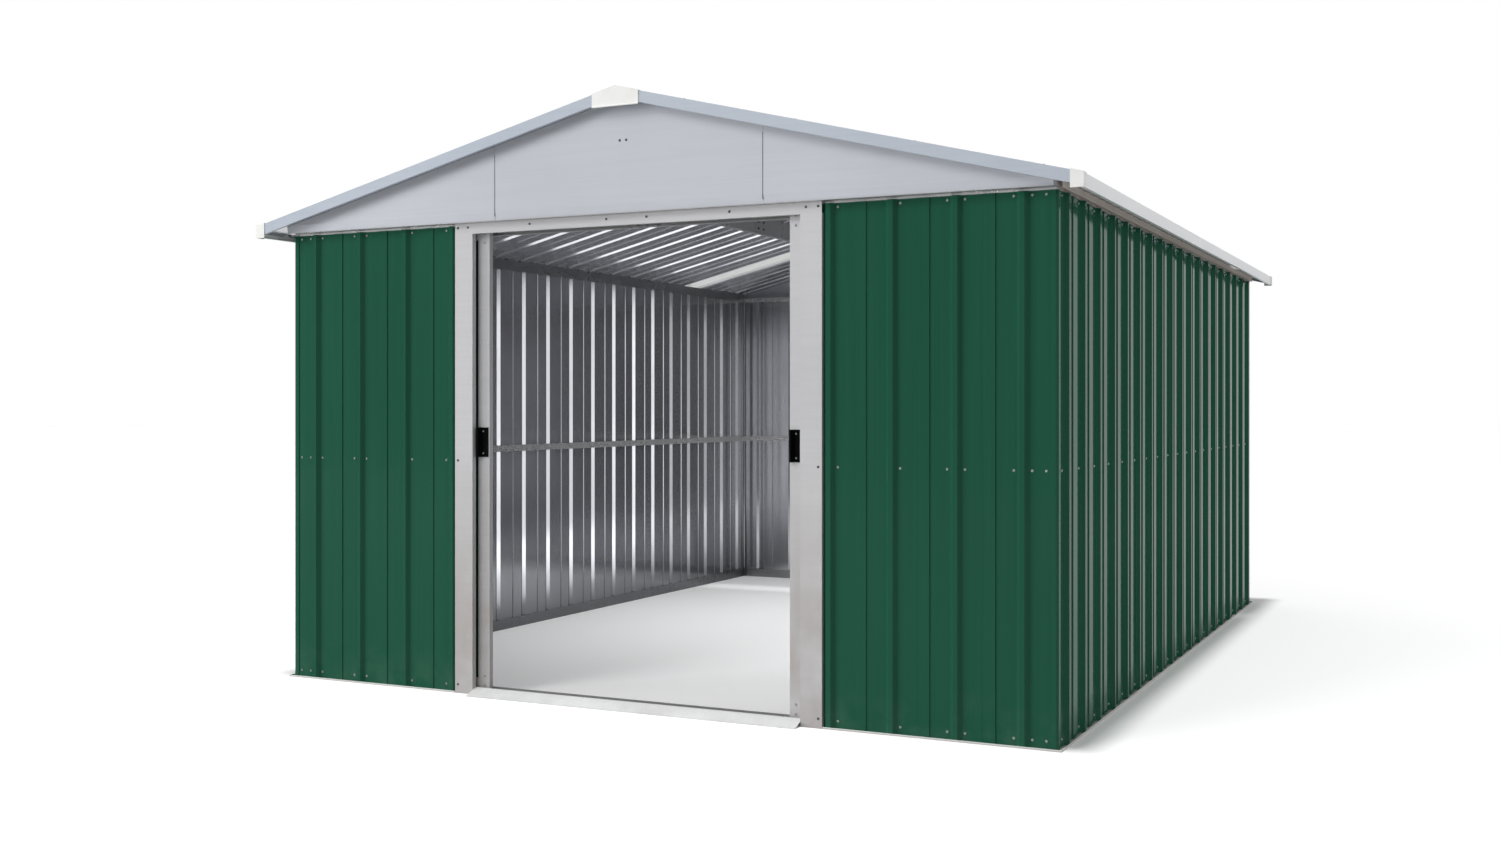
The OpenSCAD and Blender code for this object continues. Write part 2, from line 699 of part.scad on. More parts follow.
module leaf_panel() {
    from = meeting_stile_w;
    to = leaf_w - leaf_rail_w;
    middle = (from + to) / 2;
    ribs = [for (k = [-1 : 1]) middle + k * leaf_rib_pitch];
    last = len(ribs) - 1;
    path = concat(
        [[from - leaf_sheet_in, 0]], rib(ribs[0]), between(ribs, 0, last), rib(ribs[last]), [[to + leaf_sheet_in, 0]]
    );
    low = leaf_bottom + leaf_rail_w + fit;
    high = leaf_top - leaf_rail_w - fit;
    color(green) leaf_place() translate([0, 0, low]) linear_extrude(high - low)
        polygon(folded([for (p = path) [p.x, leaf_pan - p.y]], sheet_t));
}
module leaf_handle() {
    plate_t = 3;
    grip_w = 9;
    grip_slope = 5;
    color(black) leaf_place() translate([handle_in, 0, handle_z]) linear_extrude(handle_h)
        polygon([
            [0, 0], [0, grip_slope - handle_d], [grip_slope, -handle_d], [grip_w, -handle_d],
            [grip_w + grip_slope, -plate_t], [handle_w, -plate_t], [handle_w, 0]
        ]);
}
module right_door_frame() { leaf_frame(); }
module right_door_panel() { leaf_panel(); }
module right_door_handle() { leaf_handle(); }
module left_door_frame() { flip_x() leaf_frame(); }
module left_door_panel() { flip_x() leaf_panel(); }
// The left leaf has the same handle, turned the same way
module left_door_handle() { translate([-2 * (leaf_edge + handle_in) - handle_w, 0, 0]) leaf_handle(); }

left_base();
right_base();
back_base();
front_left_base();
front_right_base();
door_ramp();
lower_door_track();
front_left_wall();
front_right_wall();
right_wall();
back_wall();
left_wall();
front_left_corner();
front_right_corner();
back_right_corner();
back_left_corner();
front_left_mid_rail();
front_right_mid_rail();
right_mid_rail();
back_mid_rail();
left_mid_rail();
front_top_rail();
back_top_rail();
right_top_rail();
left_top_rail();
left_jamb();
right_jamb();
door_header();
upper_door_track();
front_gable();
back_gable();
left_purlin();
right_purlin();
purlin_splices();
left_roof();
right_roof();
left_skylight();
right_skylight();
ridge_capping();
front_trims();
back_trims();
left_eaves_trim();
right_eaves_trim();
roof_caps();
left_door_frame();
left_door_panel();
left_door_handle();
right_door_frame();
right_door_panel();
right_door_handle();
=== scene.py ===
"""Looks of a ribbed steel storage shed with two sliding doors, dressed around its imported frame.

Metres, +Z up, the front faces -Y, the origin is on the ground under the middle of the shed.
"""

import json
import logging
import math
from dataclasses import dataclass, replace
from enum import Enum
from typing import Iterable, Sequence, Union

import bmesh
import bpy
from mathutils import Matrix, Vector

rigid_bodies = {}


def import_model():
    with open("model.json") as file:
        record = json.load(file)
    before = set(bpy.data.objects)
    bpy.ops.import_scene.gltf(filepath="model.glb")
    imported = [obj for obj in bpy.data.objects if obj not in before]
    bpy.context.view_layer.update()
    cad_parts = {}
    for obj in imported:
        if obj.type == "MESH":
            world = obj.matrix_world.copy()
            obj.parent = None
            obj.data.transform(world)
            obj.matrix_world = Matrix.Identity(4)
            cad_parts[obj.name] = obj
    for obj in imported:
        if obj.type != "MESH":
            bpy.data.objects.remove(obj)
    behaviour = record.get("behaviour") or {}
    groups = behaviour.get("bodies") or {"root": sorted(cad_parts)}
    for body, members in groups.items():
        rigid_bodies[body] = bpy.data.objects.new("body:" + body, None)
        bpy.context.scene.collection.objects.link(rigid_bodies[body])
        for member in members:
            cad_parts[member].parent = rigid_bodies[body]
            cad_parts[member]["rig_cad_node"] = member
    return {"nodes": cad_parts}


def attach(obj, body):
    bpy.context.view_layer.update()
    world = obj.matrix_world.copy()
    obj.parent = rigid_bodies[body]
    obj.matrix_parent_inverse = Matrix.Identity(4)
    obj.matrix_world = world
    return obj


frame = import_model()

LOG = logging.getLogger("shed")
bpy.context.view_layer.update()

Colour = tuple[float, float, float]
Point = tuple[float, float, float]
Material = bpy.types.Material
Shape = bmesh.types.BMesh
Socket = bpy.types.NodeSocket
Value = Union[float, Colour, Socket]
Layer = tuple[Socket, float]

NOISE_RANGE = (0.3, 0.7)
GRAIN_BUMP = 0.000008
GRAIN_ROUGH = (-0.03, 0.05)
MERGE_DISTANCE = 1e-6


def screen(red: int, green: int, blue: int) -> Colour:
    """Turn a screen colour into the linear colour that a shader takes.

    Args:
        red: Red level, 0 to 255.
        green: Green level, 0 to 255.
        blue: Blue level, 0 to 255.

    Returns:
        The linear colour.
    """
    levels = (level / 255 for level in (red, green, blue))
    return tuple(c / 12.92 if c <= 0.04045 else ((c + 0.055) / 1.055) ** 2.4 for c in levels)


class Side(Enum):
    """Wall of the shed, with the way that it faces."""

    FRONT = (0.0, -1.0, 0.0)
    RIGHT = (1.0, 0.0, 0.0)
    BACK = (0.0, 1.0, 0.0)
    LEFT = (-1.0, 0.0, 0.0)

    def seat(self, along: float, height: float, out: float) -> Point:
        """Give a point on this wall.

        Args:
            along: Place along the wall, as its X or Y.
            height: Height above the ground.
            out: Distance of the wall's face from the middle of the shed.

        Returns:
            The point in the frame of the shed.
        """
        x, y, _ = self.value
        return (x * out, along, height) if x else (along, y * out, height)


class Slot(Enum):
    """Material slot of the record."""

    RAIL = "galvanised_rail"
    WHITE = "white_plastic"


class FinishGraph:
    """Node tree of one finish, with short ways to the nodes that the finishes share."""

    def __init__(self, name: str) -> None:
        """Start a tree that holds one surface shader and the object's own coordinates.

        Args:
            name: Name of the material.
        """
        self.material = bpy.data.materials.new(name)
        self.material.use_nodes = True
        self.tree = self.material.node_tree
        self.tree.nodes.clear()
        self.surface = self.add("ShaderNodeBsdfPrincipled")
        self.output = self.add("ShaderNodeOutputMaterial")
        self.join(self.surface.outputs["BSDF"], self.output.inputs["Surface"])
        self.place = self.add("ShaderNodeTexCoord").outputs["Object"]

    def add(self, kind: str, **settings: object) -> bpy.types.Node:
        """Add a node.

        Args:
            kind: Blender's name of the node type.
            **settings: Properties of the node.

        Returns:
            The new node.
        """
        node = self.tree.nodes.new(kind)
        for key, value in settings.items():
            setattr(node, key, value)
        return node

    def join(self, source: Value, target: Socket) -> None:
        """Link a socket to an input, or set the input where a plain value is given.

        Args:
            source: Socket, number or colour.
            target: Input to feed.
        """
        if isinstance(source, Socket):
            self.tree.links.new(source, target)
        else:
            target.default_value = (*source, 1.0) if isinstance(source, tuple) else source

    def math(self, operation: str, first: Value, second: Value = 0.0) -> Socket:
        """Add a Math node.

        Args:
            operation: Blender's name of the operation.
            first: First value.
            second: Second value.

        Returns:
            The result.
        """
        node = self.add("ShaderNodeMath", operation=operation)
        self.join(first, node.inputs[0])
        self.join(second, node.inputs[1])
        return node.outputs[0]

    def axes(self, vector: Socket) -> Sequence[Socket]:
        """Split a vector into its X, Y and Z sockets."""
        node = self.add("ShaderNodeSeparateXYZ")
        self.join(vector, node.inputs[0])
        return node.outputs

    def stretched(self, stretch: Point) -> Socket:
        """Give the object's coordinates, scaled along each axis."""
        node = self.add("ShaderNodeMapping")
        self.join(self.place, node.inputs["Vector"])
        node.inputs["Scale"].default_value = stretch
        return node.outputs["Vector"]

    def noise(self, scale: float, detail: float = 2.0, stretch: Point = (1.0, 1.0, 1.0)) -> Socket:
        """Add a noise pattern.

        Args:
            scale: Waves in a metre.
            detail: Finer layers of the pattern.
            stretch: Scale along each axis; a low one draws the pattern out along that axis.

        Returns:
            The pattern, about 0.3 to 0.7.
        """
        node = self.add("ShaderNodeTexNoise")
        self.join(self.stretched(stretch), node.inputs["Vector"])
        node.inputs["Scale"].default_value = scale
        node.inputs["Detail"].default_value = detail
        return node.outputs[0]

    def spangle(self, scale: float) -> Socket:
        """Add the crystal pattern of a zinc coat, one random level for each crystal."""
        node = self.add("ShaderNodeTexVoronoi")
        self.join(self.place, node.inputs["Vector"])
        node.inputs["Scale"].default_value = scale
        return self.axes(node.outputs["Color"])[0]

    def span(self, value: Socket, low: float, high: float, start: float = 0.0, end: float = 1.0) -> Socket:
        """Map a value from one range to another, held at the ends.

        Args:
            value: Value to map.
            low: Value that gives start.
            high: Value that gives end.
            start: Result at low.
            end: Result at high.

        Returns:
            The mapped value.
        """
        node = self.add("ShaderNodeMapRange", clamp=True)
        names = ("Value", "From Min", "From Max", "To Min", "To Max")
        for name, given in zip(names, (value, low, high, start, end)):
            self.join(given, node.inputs[name])
        return node.outputs["Result"]

    def even(self, pattern: Socket, start: float = 0.0, end: float = 1.0) -> Socket:
        """Map a noise pattern from its usual range to another, as span() does."""
        return self.span(pattern, *NOISE_RANGE, start, end)

    def grained(self, grain: Socket, rough: float) -> Socket:
        """Give the roughness of a paint that a fine grain varies a little."""
        return self.even(grain, rough + GRAIN_ROUGH[0], rough + GRAIN_ROUGH[1])

    def sum(self, first: Socket, *others: Socket) -> Socket:
        """Add up some values."""
        total = first
        for other in others:
            total = self.math("ADD", total, other)
        return total

    def mix(self, share: Value, first: Value, second: Value, kind: str = "Color") -> Socket:
        """Mix two colours, or two numbers.

        Args:
            share: Share of the second one.
            first: Colour or number at 0.
            second: Colour or number at 1.
            kind: Color or Float.

        Returns:
            The mixed colour or number.
        """
        node = self.add("ShaderNodeMix", data_type="RGBA" if kind == "Color" else "FLOAT")
        sockets = {socket.identifier: socket for socket in (*node.inputs, *node.outputs)}
        for key, given in (("Factor_Float", share), ("A_" + kind, first), ("B_" + kind, second)):
            self.join(given, sockets[key])
        return sockets["Result_" + kind]

    def blend(self, share: Value, first: Value, second: Value) -> Socket:
        """Mix two numbers, as mix() does colours."""
        return self.mix(share, first, second, "Float")

    def bump(self, layers: Iterable[Layer]) -> None:
        """Raise the surface by some patterns.

        Args:
            layers: Each pattern with its height in metres.
        """
        normal = None
        for height, distance in layers:
            node = self.add("ShaderNodeBump")
            node.inputs["Distance"].default_value = distance
            self.join(height, node.inputs["Height"])
            if normal is not None:
                self.join(normal, node.inputs["Normal"])
            normal = node.outputs["Normal"]
        self.join(normal, self.surface.inputs["Normal"])

    def set(self, **inputs: Value) -> None:
        """Feed the surface shader, with its inputs named in lower case with underscores."""
        for key, given in inputs.items():
            socket = self.surface.inputs[key.replace("_", " ").title().replace("Ior", "IOR")]
            self.join(given, socket)


@dataclass(frozen=True)
class ZincCoat:
    """Zinc coat of rolled steel: faint crystals, drawn-out rolling streaks, and a wavy thin sheet.

    Attributes:
        name: Name of the finish.
        dull: Colour where the coat is dull.
        bright: Colour where it is bright.
        metal: How metallic the coat looks.
        rough: Roughness of the bright coat.
        wave: Height of the waves of the sheet, in metres.
        streaks: Stretch of the rolling streaks along each axis.
        streak_bump: Height of the streaks, in metres.
        dust: Colour of the dust near the ground.
        dust_top: Height up to which the dust reaches.
        dust_share: How much of the coat it covers at the ground.
        low_rough: Roughness of the dust.
    """

    name: str
    dull: Colour
    bright: Colour
    metal: float
    rough: float
    wave: float
    streaks: Point = (1.0, 1.0, 0.03)
    streak_bump: float = 0.000004
    dust: Colour = screen(150, 146, 138)
    dust_top: float = 0.12
    dust_share: float = 0.22
    low_rough: float = 0.75

    def coat(self, graph: FinishGraph) -> tuple[Socket, Socket, Sequence[Layer]]:
        """Add the coat's nodes to a tree.

        Args:
            graph: Tree to add to.

        Returns:
            The colour, the roughness, and the layers of the bump.
        """
        crystals = graph.spangle(55.0)
        rolling = graph.noise(150.0, 3.0, self.streaks)
        clouds = graph.noise(3.0, 4.0)
        level = graph.sum(
            graph.span(crystals, 0.0, 1.0, end=0.15),
            graph.even(rolling, end=0.25),
            graph.even(clouds, end=0.6),
        )
        colour = graph.mix(level, self.dull, self.bright)
        rough = graph.span(level, 0.2, 0.8, self.rough + 0.03, self.rough - 0.02)
        waves = graph.noise(1.8, 0.0, (1.0, 1.0, 0.5))
        return colour, rough, ((waves, self.wave), (rolling, self.streak_bump))

    def make(self) -> Material:
        """Make the material."""
        graph = FinishGraph(self.name)
        colour, rough, layers = self.coat(graph)
        foot = graph.span(graph.axes(graph.place)[2], 0.0, self.dust_top, self.dust_share, 0.0)
        dust = graph.math("MULTIPLY", foot, graph.span(graph.noise(9.0, 5.0), 0.4, 0.65))
        graph.set(
            base_color=graph.mix(dust, colour, self.dust),
            metallic=self.metal,
            roughness=graph.blend(dust, rough, self.low_rough),
        )
        graph.bump(layers)
        return graph.material


@dataclass(frozen=True)
class PaintedSheet:
    """Sheet or rail of a wall, painted on the outside and zinc coated on the inside.

    Attributes:
        name: Name of the finish.
        deep: Paint where it is deepest.
        fresh: Paint where it is lightest.
        chalk: Paint that has gone chalky near the ground and along the cut edges.
        rough: Roughness of the paint.
        back: Zinc coat of the inside.
        gloss: Level of the surface reflection.
        foot_shade: Darker colour of the zinc coat at the foot of the side walls, a painted shade that dims
            its reflections there.
        foot_shade_span: Heights between which the painted shade fades.
        foot_shade_share: How much of the coat it darkens at the foot.
        wear_top: Height up to which the paint is worn.
        wear_share: How much of the paint is worn at the ground.
        foot_span: Heights between which the bare lower edge ends.
        foot_share: How bare the lower edge is.
        top_span: Depths under the top of the sheets between which the bare upper edge ends.
        top_share: How bare the upper edge is.
        door_depth: Y in front of which a face belongs to the front wall or the doors.
        wall_half: X past which a face belongs to a side wall.
        pan_depth: Y of the face of the front and back sheets between their ribs.
        pan_half: X of the face of the side sheets between their ribs.
        wall_top: Height of the top of the sheets.
        up_limit: Z of a normal past which its face looks up.
        out_limit: X or Y of a normal past which its face looks out.
    """

    name: str
    deep: Colour
    fresh: Colour
    chalk: Colour
    rough: float
    back: ZincCoat
    gloss: float = 0.045
    # Painted shade: darker zinc at the foot of the inside of the side walls.
    foot_shade: Colour = screen(104, 105, 109)
    foot_shade_span: tuple[float, float] = (0.03, 0.42)
    foot_shade_share: float = 0.85
    wear_top: float = 0.16
    wear_share: float = 0.2
    foot_span: tuple[float, float] = (0.0035, 0.006)
    foot_share: float = 0.7
    top_span: tuple[float, float] = (0.003, 0.001)
    top_share: float = 0.5
    door_depth: float = 1.84
    wall_half: float = 1.38
    pan_depth: float = 1.895
    pan_half: float = 1.4
    wall_top: float = 1.6005
    up_limit: float = 0.5
    out_limit: float = 0.05

    def outside(self, graph: FinishGraph) -> Socket:
        """Tell the painted faces from the others.

        Args:
            graph: Tree to add to.

        Returns:
            1 on a face that looks out of the shed or up from a ledge outside its sheets, 0 elsewhere.
        """
        normal = graph.axes(graph.add("ShaderNodeNewGeometry").outputs["True Normal"])
        place = graph.axes(graph.place)
        upward = graph.math("GREATER_THAN", normal[2], self.up_limit)
        faces = []
        for axis, reach, pan in ((0, self.wall_half, self.pan_half), (1, self.door_depth, self.pan_depth)):
            ledge = graph.math("GREATER_THAN", graph.math("ABSOLUTE", place[axis]), pan)
            faces.append(graph.math("MULTIPLY", ledge, upward))
            for sign in (-1.0, 1.0):
                past = graph.math("GREATER_THAN", graph.math("MULTIPLY", place[axis], sign), reach)
                out = graph.math("GREATER_THAN", graph.math("MULTIPLY", normal[axis], sign), self.out_limit)
                faces.append(graph.math("MULTIPLY", past, out))
        total = faces[0]
        for face in faces[1:]:
            total = graph.math("MAXIMUM", total, face)
        return total

    def make(self) -> Material:
        """Make the material."""
        graph = FinishGraph(self.name)
        zinc, zinc_rough, zinc_layers = self.back.coat(graph)
        painted = self.outside(graph)
        across, _, height = graph.axes(graph.place)
        # Painted shade: the zinc of the side walls darkens towards the foot, which dims its reflections near
        # the ground.
        beside = graph.math("GREATER_THAN", graph.math("ABSOLUTE", across), self.wall_half)
        foot_shade = graph.math("MULTIPLY", beside, graph.span(height, *self.foot_shade_span, self.foot_shade_share, 0.0))
        zinc = graph.mix(foot_shade, zinc, self.foot_shade)
        clouds = graph.noise(1.6, 4.0, (1.0, 1.0, 0.4))
        rolling = graph.noise(90.0, 2.0, (1.0, 1.0, 0.02))
        level = graph.sum(graph.even(clouds, end=0.6), graph.even(rolling, end=0.4))
        paint = graph.mix(level, self.deep, self.fresh)
        low = graph.span(height, 0.0, self.wear_top, self.wear_share, 0.0)
        worn = graph.math("MULTIPLY", low, graph.span(graph.noise(14.0, 6.0), 0.42, 0.68))
        foot = graph.span(height, *self.foot_span, self.foot_share, 0.0)
        top_heights = (self.wall_top - depth for depth in self.top_span)
        top = graph.span(height, *top_heights, 0.0, self.top_share)
        worn = graph.math("MAXIMUM", worn, graph.math("MAXIMUM", foot, top))
        paint = graph.mix(worn, paint, self.chalk)
        speck = graph.noise(420.0, 2.0)
        paint_rough = graph.sum(graph.grained(speck, self.rough), worn)
        graph.set(
            base_color=graph.mix(painted, zinc, paint),
            metallic=graph.span(painted, 0.0, 1.0, self.back.metal, 0.0),
            roughness=graph.blend(painted, zinc_rough, paint_rough),
            specular_ior_level=self.gloss,
        )
        graph.bump((*zinc_layers[:1], (speck, GRAIN_BUMP)))
        return graph.material


@dataclass(frozen=True)
class SilverPaint:
    """Flat light grey paint with a metallic cast on the folded trims.

    Attributes:
        name: Name of the finish.
        deep: Paint where it is deepest.
        fresh: Paint where it is lightest.
        low_tone: Darker, browner colour that the paint takes towards the bottom.
        rough: Roughness of the paint.
        low_tone_top: Height up to which the paint darkens.
        low_tone_share: How much of the paint it covers at the ground.
        low_tone_rough: Roughness that it adds.
        metal: How metallic the paint looks.
        gloss: Level of the surface reflection.
        wave: Height of the waves of the sheet, in metres.
    """

    name: str
    deep: Colour
    fresh: Colour
    low_tone: Colour
    rough: float = 0.46
    low_tone_top: float = 0.9
    low_tone_share: float = 0.9
    low_tone_rough: float = 0.3
    metal: float = 0.15
    gloss: float = 0.35
    wave: float = 0.0012

    def make(self) -> Material:
        """Make the material."""
        graph = FinishGraph(self.name)
        height = graph.axes(graph.place)[2]
        clouds = graph.noise(1.3, 4.0)
        rolling = graph.noise(110.0, 3.0, (0.02, 1.0, 1.0))
        level = graph.sum(graph.even(clouds, end=0.65), graph.even(rolling, end=0.35))
        paint = graph.mix(level, self.deep, self.fresh)
        # Darker and browner towards the bottom, broken up by noise, with a little added roughness.
        low = graph.span(height, 0.0, self.low_tone_top, self.low_tone_share, 0.0)
        low_tone = graph.math("MULTIPLY", low, graph.span(graph.noise(6.0, 6.0), 0.2, 0.6))
        speck = graph.noise(380.0, 2.0)
        waves = graph.noise(2.4, 1.0)
        low_rough = graph.math("MULTIPLY", low_tone, self.low_tone_rough)
        graph.set(
            base_color=graph.mix(low_tone, paint, self.low_tone),
            metallic=self.metal,
            roughness=graph.sum(graph.grained(speck, self.rough), low_rough),
            specular_ior_level=self.gloss,
        )
        graph.bump(((waves, self.wave), (speck, GRAIN_BUMP)))
        return graph.material


@dataclass(frozen=True)
class ClearSheet:
    """Milky ribbed plastic sheet that lets the light through.

    Attributes:
        name: Name of the finish.
        milk: Colour of the plastic.
        stain: Colour where it has yellowed.
        cover: How much of the light it stops.
        fibre_bump: Height of the fibres in it, in metres.
        wave: Height of the waves of the sheet, in metres.
    """

    name: str
    milk: Colour
    stain: Colour
    cover: float
    fibre_bump: float = 0.00003
    wave: float = 0.0006

    def make(self) -> Material:
        """Make the material."""
        graph = FinishGraph(self.name)
        fibre = graph.noise(260.0, 3.0, (0.05, 1.0, 0.05))
        clouds = graph.noise(5.0, 4.0)
        graph.set(
            base_color=graph.mix(graph.span(clouds, 0.35, 0.7, 0.0, 0.5), self.milk, self.stain),
            roughness=graph.even(fibre, 0.26, 0.4),
            alpha=self.cover,
        )
        graph.bump(((fibre, self.fibre_bump), (clouds, self.wave)))
        return graph.material


@dataclass(frozen=True)
class MouldedPlastic:
    """Moulded plastic with a fine grain.

    Attributes:
        name: Name of the finish.
        plain: Main colour.
        rubbed: Colour where hands and weather have rubbed it.
        rough: Roughness of the plain plastic.
        grain: Height of the grain, in metres.
        gloss: Level of the surface reflection.
    """

    name: str
    plain: Colour
    rubbed: Colour
    rough: float
    grain: float
    gloss: float

    def make(self) -> Material:
        """Make the material."""
        graph = FinishGraph(self.name)
        grain = graph.noise(900.0, 3.0)
        clouds = graph.noise(12.0, 4.0)
        rubbed = graph.span(clouds, 0.45, 0.7, 0.0, 0.6)
        polish = graph.math("MULTIPLY", rubbed, 0.12)
        graph.set(
            base_color=graph.mix(rubbed, self.plain, self.rubbed),
            roughness=graph.math("SUBTRACT", graph.even(grain, self.rough - 0.05, self.rough + 0.08), polish),
            specular_ior_level=self.gloss,
        )
        graph.bump(((grain, self.grain),))
        return graph.material


INSIDE_ZINC = ZincCoat("inside_zinc", screen(171, 172, 176), screen(181, 182, 186), 0.9, 0.13, 0.0003)
LEVEL_STREAKS = (0.03, 1.0, 1.0)
RAIL_ZINC = ZincCoat(
    "rail_zinc", screen(140, 141, 143), screen(162, 163, 165), 0.88, 0.28, 0.0004, LEVEL_STREAKS
)


@dataclass(frozen=True)
class Finishes:
    """All the finishes of the shed, made once."""

    green: Material
    silver: Material
    fascia: Material
    doorway: Material
    lit_trim: Material
    pale: Material
    rail: Material
    base_rail: Material
    eaves_rail: Material
    roof: Material
    skylight: Material
    white: Material
    black: Material
    zinc_head: Material
    dark_head: Material

    @classmethod
    def make(cls) -> "Finishes":
        """Make the materials."""
        kinds = {
            "green": PaintedSheet(
                "green_sheet", screen(29, 80, 61), screen(34, 87, 67), screen(92, 118, 105), 0.08, INSIDE_ZINC
            ),
            "silver": SilverPaint(
                "silver_paint", screen(184, 187, 194), screen(194, 197, 204), screen(164, 158, 152)
            ),
            "fascia": SilverPaint(
                "fascia_paint", screen(170, 178, 189), screen(182, 189, 199), screen(160, 160, 160)
            ),
            "doorway": SilverPaint(
                "doorway_paint", screen(187, 187, 189), screen(198, 198, 200), screen(166, 159, 155)
            ),
            # Painted light: a lighter copy of the trim paint that stands in for the light the eaves trims
            # catch.
            "lit_trim": SilverPaint(
                "lit_trim", screen(228, 230, 233), screen(238, 239, 241), screen(206, 204, 200)
            ),
            "pale": ZincCoat(
                "pale_galvanised", screen(196, 197, 197), screen(222, 223, 223), 0.2, 0.44, 0.0006
            ),
            "rail": replace(
                RAIL_ZINC, name="galvanised_rail", metal=0.65,
                dull=screen(166, 166, 167), bright=screen(184, 184, 185),
            ),
            "base_rail": PaintedSheet(
                "base_rail", screen(230, 231, 231), screen(243, 244, 244), screen(176, 172, 165),
                0.44, RAIL_ZINC,
            ),
            "eaves_rail": PaintedSheet(
                "eaves_rail", screen(232, 219, 209), screen(241, 230, 222), screen(206, 198, 190),
                0.42, RAIL_ZINC,
            ),
            "roof": ZincCoat(
                "roof_sheet", screen(172, 173, 177), screen(182, 183, 187), 0.76, 0.15, 0.0003, LEVEL_STREAKS
            ),
            "skylight": ClearSheet("skylight_sheet", screen(240, 243, 244), screen(226, 228, 216), 0.38),
            "white": MouldedPlastic(
                "white_plastic", screen(232, 232, 230), screen(220, 220, 215), 0.42, 0.00001, 0.4
            ),
            "black": MouldedPlastic("black_plastic", screen(5, 5, 5), screen(12, 12, 12), 0.5, 0.00003, 0.04),
            "zinc_head": ZincCoat("zinc_head", screen(128, 138, 134), screen(160, 170, 166), 0.5, 0.36, 0.0),
            "dark_head": ZincCoat("dark_head", screen(66, 66, 68), screen(96, 96, 98), 0.7, 0.4, 0.0),
        }
        return cls(**{key: kind.make() for key, kind in kinds.items()})


def paint_nodes(names: Iterable[str], finish: Material) -> None:
    """Give nodes of the frame a finish.

    Args:
        names: Names of the nodes.
        finish: Material for all of each node.
    """
    for name in names:
        node = frame["nodes"][name]
        node.data.materials.clear()
        node.data.materials.append(finish)
        LOG.info("dressed %s in %s", name, finish.name)


def stand(name: str, shape: Shape, finish: Material) -> bpy.types.Object:
    """Turn a finished shape into an object of the scene.

    Args:
        name: Name of the object.
        shape: Shape in the frame of the shed; it is used up.
        finish: Material of the object.

    Returns:
        The object.
    """
    mesh = bpy.data.meshes.new(name)
    shape.to_mesh(mesh)
    shape.free()
    mesh.materials.append(finish)
    piece = bpy.data.objects.new(name, mesh)
    bpy.context.scene.collection.objects.link(piece)
    return piece


def add_piece(name: str, shape: Shape, finish: Material, body: str = "root") -> None:
    """Turn a finished shape into a piece that rides on a body.

    Args:
        name: Name of the piece.
        shape: Shape in the frame of the shed; it is used up.
        finish: Material of the piece.
        body: Body that carries the piece.
    """
    piece = stand(name, shape, finish)
    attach(piece, body)
    LOG.info("built %s with %d faces", name, len(piece.data.polygons))


def add_block(shape: Shape, middle: Point, size: Point) -> None:
    """Add a block to a shape.

    Args:
        shape: Shape to add to.
        middle: Middle of the block.
        size: Its size along X, Y and Z.
    """
    bmesh.ops.create_cube(shape, size=1.0, matrix=Matrix.Translation(middle) @ Matrix.Diagonal((*size, 1.0)))


def round_edges(shape: Shape, offset: float, segments: int) -> None:
    """Round all the edges of a shape.

    Args:
        shape: Shape to round.
        offset: Distance of the rounding from each edge.
        segments: Steps of the rounding.
    """
    bmesh.ops.bevel(
        shape, geom=shape.edges[:], offset=offset, affect="EDGES", segments=segments, profile=0.5, material=-1
    )


@dataclass(frozen=True)
class Fastener:
    """Screw or bolt head on its washer, turned from a profile.

    Attributes:
        head_r: Radius of the head.
        head_h: Height of the head over the washer.
        washer_r: Radius of the washer.
        washer_h: Height of the washer.
        sides: Faces round the head; 6 makes a hexagon.
        taper: Share of the washer's radius that is left at its top.
        shoulder: Share of the head's radius at its shoulder, and of its height over it.
        crown: Share of the head's radius at its top.
        recess: Share of the head's height that the recess goes down.
        twist: Turn from one head of a row to the next, in radians.
    """

    head_r: float
    head_h: float
    washer_r: float
    washer_h: float
    sides: int = 8
    taper: float = 0.97
    shoulder: tuple[float, float] = (0.9, 0.3)
    crown: float = 0.5
    recess: float = 0.45
    twist: float = 2.4

    def profile(self) -> Sequence[tuple[float, float]]:
        """Give the radius and height of each point of the profile, from the seat up to the recess."""
        top = self.washer_h + self.head_h
        shoulder_r, shoulder_drop = self.shoulder
        return (
            (0.0, 0.0),
            (self.washer_r, 0.0),
            (self.washer_r * self.taper, self.washer_h),
            (self.head_r, self.washer_h),
            (self.head_r * shoulder_r, top - self.head_h * shoulder_drop),
            (self.head_r * self.crown, top),
            (0.0, top - self.head_h * self.recess),
        )

    def template(self) -> bpy.types.Mesh:
        """Turn the profile into one head, standing on the origin and pointing up.

        Returns:
            The mesh of the head.
        """
        shape = bmesh.new()
        points = [shape.verts.new((radius, 0.0, height)) for radius, height in self.profile()]
        lines = [shape.edges.new(pair) for pair in zip(points, points[1:])]
        bmesh.ops.spin(
            shape, geom=points + lines, cent=(0, 0, 0), axis=(0, 0, 1), angle=2 * math.pi, steps=self.sides,
            use_merge=True,
        )
        bmesh.ops.remove_doubles(shape, verts=shape.verts, dist=MERGE_DISTANCE)
        bmesh.ops.recalc_face_normals(shape, faces=shape.faces)
        mesh = bpy.data.meshes.new("head")
        shape.to_mesh(mesh)
        shape.free()
        return mesh

    def row(self, seats: Iterable[tuple[Point, Point]]) -> Shape:
        """Set a head on each of some seats.

        Args:
            seats: Each seat's point, and the way that it faces.

        Returns:
            One shape with all the heads.
        """
        head = self.template()
        shape = bmesh.new()
        for number, (point, facing) in enumerate(seats):
            start = len(shape.verts)
            shape.from_mesh(head)
            shape.verts.ensure_lookup_table()
            turn = Vector((0, 0, 1)).rotation_difference(Vector(facing)).to_matrix().to_4x4()
            spin = Matrix.Rotation(number * self.twist, 4, "Z")
            place = Matrix.Translation(point) @ turn @ spin
            bmesh.ops.transform(shape, matrix=place, verts=shape.verts[start:])
        bpy.data.meshes.remove(head)
        return shape


